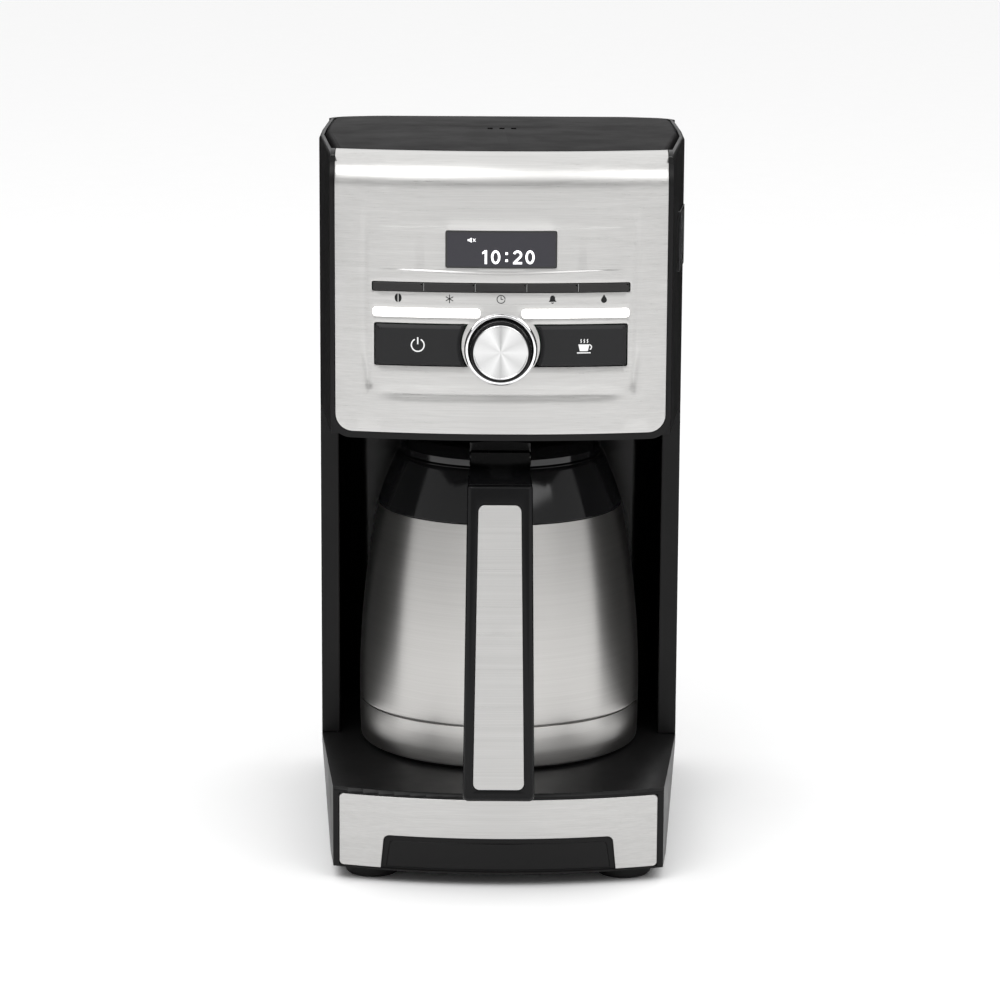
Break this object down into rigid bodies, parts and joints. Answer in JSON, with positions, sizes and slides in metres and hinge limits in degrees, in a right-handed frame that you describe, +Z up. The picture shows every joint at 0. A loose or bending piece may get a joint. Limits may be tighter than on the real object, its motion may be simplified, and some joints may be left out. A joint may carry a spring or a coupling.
{
  "type": "drip coffee maker",
  "caption": "Tall drip coffee maker with a curved steel control face, a lift-up lid and an insulated steel carafe in an open bay.",
  "frame": {"origin": "centre of the outline on the surface the feet stand on", "axes": "+Z up, +X to the right seen from the front, +Y towards the back, so the face looks along -Y"},
  "size_m": [0.179, 0.2603, 0.3515],
  "materials": {
    "black_plastic": "fine matte, dark charcoal",
    "black_gloss": "gloss black",
    "lid_plastic": "satin charcoal",
    "face_steel": "brushed sideways",
    "trim_steel": "brushed sideways",
    "carafe_steel": "brushed round the body",
    "vessel_steel": "satin",
    "knob_steel": "spun face",
    "chrome": "polished",
    "steel_parts": "plated",
    "heater_aluminium": "cast",
    "display_glass": "tinted window",
    "light_white": "lit diffuser",
    "tank_clear": "smoke tinted, translucent",
    "rubber_black": "matte",
    "silicone_grey": "translucent silicone",
    "board_green": "circuit board",
    "switch_black": "moulded"
  },
  "bodies": {
    "machine": {"base_housing": "black_plastic", "base_plate": "black_plastic", "feet": "rubber_black", "front_trim": "trim_steel", "right_side_cover": "black_plastic", "left_side_cover": "black_plastic", "rear_cover": "black_plastic", "case_screws": "steel_parts", "cord_gland": "black_plastic", "bay_liner": "black_gloss", "head_bezel": "black_plastic", "head_housing": "black_plastic", "face_panel": "face_steel", "panel_carrier": "black_plastic", "display_window": "display_glass", "display_module": "board_green", "light_bars": "light_white", "control_board": "board_green", "tact_switches": "switch_black", "encoder": "steel_parts", "knob_ring": "chrome", "level_frame": "black_gloss", "level_window": "tank_clear", "hinge_pin": "steel_parts", "basket_holder": "black_plastic", "filter_basket": "black_plastic", "basket_bail": "steel_parts", "water_reservoir": "tank_clear", "heater": "heater_aluminium", "heater_clamp": "steel_parts", "thermostat": "steel_parts", "power_board": "board_green", "check_valve": "silicone_grey", "inlet_hose": "silicone_grey", "riser_tube": "silicone_grey"},
    "lid": {"lid_cover": "lid_plastic", "lid_liner": "black_plastic", "shower_head": "black_plastic"},
    "knob": {"knob_body": "chrome", "knob_cap": "knob_steel"},
    "drip_stop_valve": {"drip_stop": "black_plastic"},
    "carafe": {"carafe_shell": "carafe_steel", "carafe_base": "black_plastic", "carafe_vessel": "vessel_steel", "carafe_collar": "black_gloss", "carafe_handle": "black_gloss", "handle_inlay": "trim_steel", "handle_screws": "steel_parts"},
    "pour_lid": {"carafe_lid": "black_gloss", "lid_gasket": "silicone_grey", "lever_pin": "steel_parts"},
    "lever": {"pour_lever": "black_gloss"},
    "pour_plunger": {"pour_valve": "black_plastic"},
    "power_button_body": {"power_button": "black_plastic"},
    "brew_button_body": {"brew_button": "black_plastic"},
    "strength_button_body": {"strength_button": "black_plastic"},
    "iced_button_body": {"iced_button": "black_plastic"},
    "auto_button_body": {"auto_button": "black_plastic"},
    "tone_button_body": {"tone_button": "black_plastic"},
    "clean_button_body": {"clean_button": "black_plastic"}
  },
  "joints": [
    {"name": "lid_hinge", "type": "hinge", "parent": "machine", "child": "lid", "pos_m": [0, 0.1195, 0.3425], "axis": [-1, 0, 0], "range_deg": [0, 95]},
    {"name": "knob_turn", "type": "hinge", "parent": "machine", "child": "knob", "pos_m": [0, -0.0955, 0.2603], "axis": [0, -1, 0], "continuous": true},
    {"name": "power_button_press", "type": "slide", "parent": "machine", "child": "power_button_body", "axis": [0, 1, 0], "range_m": [0, 0.001], "stiffness_N_per_m": 600, "springref_m": -0.002},
    {"name": "brew_button_press", "type": "slide", "parent": "machine", "child": "brew_button_body", "axis": [0, 1, 0], "range_m": [0, 0.001], "stiffness_N_per_m": 600, "springref_m": -0.002},
    {"name": "strength_button_press", "type": "slide", "parent": "machine", "child": "strength_button_body", "axis": [0, 1, 0], "range_m": [0, 0.001], "stiffness_N_per_m": 600, "springref_m": -0.002},
    {"name": "iced_button_press", "type": "slide", "parent": "machine", "child": "iced_button_body", "axis": [0, 1, 0], "range_m": [0, 0.001], "stiffness_N_per_m": 600, "springref_m": -0.002},
    {"name": "auto_button_press", "type": "slide", "parent": "machine", "child": "auto_button_body", "axis": [0, 1, 0], "range_m": [0, 0.001], "stiffness_N_per_m": 600, "springref_m": -0.002},
    {"name": "tone_button_press", "type": "slide", "parent": "machine", "child": "tone_button_body", "axis": [0, 1, 0], "range_m": [0, 0.001], "stiffness_N_per_m": 600, "springref_m": -0.002},
    {"name": "clean_button_press", "type": "slide", "parent": "machine", "child": "clean_button_body", "axis": [0, 1, 0], "range_m": [0, 0.001], "stiffness_N_per_m": 600, "springref_m": -0.002},
    {"name": "carafe_out", "type": "slide", "parent": "machine", "child": "carafe", "axis": [0, -1, 0], "range_m": [0, 0.26]},
    {"name": "drip_stop_drop", "type": "slide", "parent": "machine", "child": "drip_stop_valve", "axis": [0, 0, -1], "range_m": [0, 0.004]},
    {"name": "carafe_lid_twist", "type": "hinge", "parent": "carafe", "child": "pour_lid", "pos_m": [0, 0.0045, 0.195], "axis": [0, 0, 1], "range_deg": [0, 45]},
    {"name": "lever_press", "type": "hinge", "parent": "pour_lid", "child": "lever", "pos_m": [0, -0.0365, 0.1973], "axis": [1, 0, 0], "range_deg": [0, 3.5], "stiffness_Nm_per_rad": 1, "springref_deg": -5.73},
    {"name": "plunger_lift", "type": "slide", "parent": "pour_lid", "child": "pour_plunger", "axis": [0, 0, 1], "range_m": [0, 0.0026]}
  ],
  "couplings": [
    {"joint": "drip_stop_drop", "follows": "carafe_out", "ratio": 0.015385},
    {"joint": "plunger_lift", "follows": "lever_press", "m_per_rad": 0.041}
  ]
}
